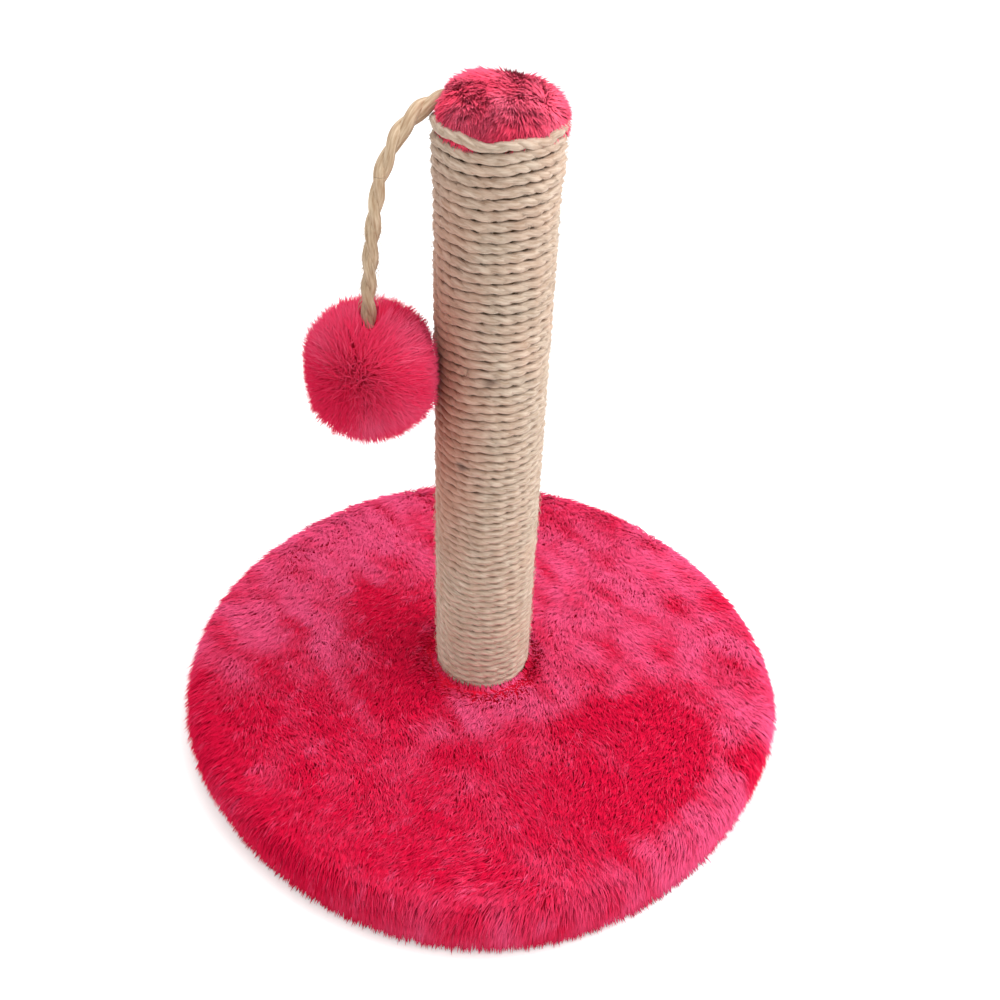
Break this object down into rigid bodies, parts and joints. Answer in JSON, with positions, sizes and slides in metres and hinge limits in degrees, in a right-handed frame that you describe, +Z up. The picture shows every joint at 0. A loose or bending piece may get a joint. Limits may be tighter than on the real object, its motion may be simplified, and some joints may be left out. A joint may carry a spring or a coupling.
{
  "type": "cat scratching post",
  "caption": "Free-standing cat scratching post: round plush-covered base, post wound in twisted twine, plush cap and a plush ball that swings on a cord.",
  "frame": {"origin": "centre of the round base's underside, on the floor", "axes": "+Z up along the post, -X towards the side on which the ball hangs, -Y towards the front of the base; the post stands 7 mm behind the base's centre"},
  "size_m": [0.372, 0.372, 0.3871],
  "materials": {
    "fibreboard": "raw sawn fibreboard",
    "red_plush": "long shaggy crimson plush pile",
    "lining_cloth": "thin dark non-woven dust cloth",
    "wire_steel": "bright drawn wire",
    "zinc_steel": "zinc-plated steel",
    "softwood": "plain turned softwood",
    "tube_board": "spiral-wound grey-brown paper tube",
    "sisal_twine": "two-ply twisted natural fibre twine",
    "cord_jute": "two-ply twisted jute cord",
    "stuffing": "white polyester stuffing",
    "pompom_plush": "long soft crimson plush pile"
  },
  "bodies": {
    "stand": {"base_board": "fibreboard", "base_plush": "red_plush", "base_lining": "lining_cloth", "hem_staples": "wire_steel", "lining_staples": "wire_steel", "base_bolt": "zinc_steel", "base_washer": "zinc_steel", "foot_plug": "softwood", "foot_tee_nut": "zinc_steel", "foot_plug_nails": "wire_steel", "post_tube": "tube_board", "top_plug": "softwood", "top_plug_nails": "wire_steel", "twine_winding": "sisal_twine", "twine_sleeve": "sisal_twine", "twine_tacks": "wire_steel", "cap_disc": "fibreboard", "cap_screw": "zinc_steel", "cap_plush": "red_plush", "cord_nail": "wire_steel", "toy_cord_upper": "cord_jute"},
    "cord_link": {"toy_cord_link": "cord_jute"},
    "cord_drop": {"toy_cord_lower": "cord_jute", "cord_knot": "cord_jute"},
    "pompom": {"pompom_core": "stuffing", "pompom_plush": "pompom_plush"}
  },
  "joints": [
    {"name": "toy_swing", "type": "hinge", "parent": "stand", "child": "cord_link", "pos_m": [-0.05247, 0.00705, 0.35792], "axis": [0, 1, 0], "range_deg": [0, 80]},
    {"name": "toy_sway", "type": "hinge", "parent": "cord_link", "child": "cord_drop", "pos_m": [-0.05545, 0.007, 0.34805], "axis": [1, 0, 0], "range_deg": [-60, 60]},
    {"name": "pompom_turn", "type": "hinge", "parent": "cord_drop", "child": "pompom", "pos_m": [-0.0628, 0.007, 0.25422], "axis": [0, 0, 1], "range_deg": [-180, 180]}
  ]
}
